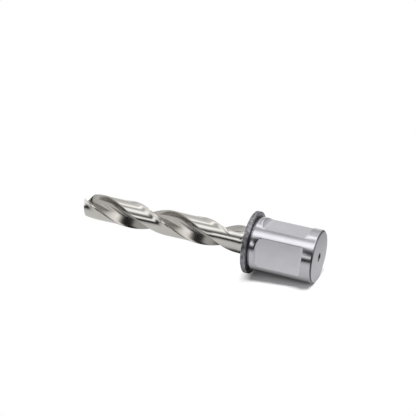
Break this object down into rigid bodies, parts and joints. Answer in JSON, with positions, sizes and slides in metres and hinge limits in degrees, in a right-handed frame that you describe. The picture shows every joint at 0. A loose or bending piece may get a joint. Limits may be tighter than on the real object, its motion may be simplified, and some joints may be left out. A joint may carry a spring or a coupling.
{
  "type": "twist drill with flanged side-lock shank",
  "caption": "Right-hand twist drill bit held in a round shank with a flange and flats for side-locking screws, a cutter for a magnetic drilling machine.",
  "frame": {"origin": "centre of the shank's end face, on the tool's axis", "axes": "+Z along the axis towards the drill point, -Y the way the main drive flat faces, +X the way the second drive flat faces"},
  "size_m": [0.0222, 0.0222, 0.0902],
  "materials": {
    "drill_steel": "ground and polished, bright",
    "shank_steel": "finely ground, satin, with a darker turned flange"
  },
  "bodies": {
    "root": {"twist_drill": "drill_steel", "flatted_shank": "shank_steel"}
  },
  "joints": []
}
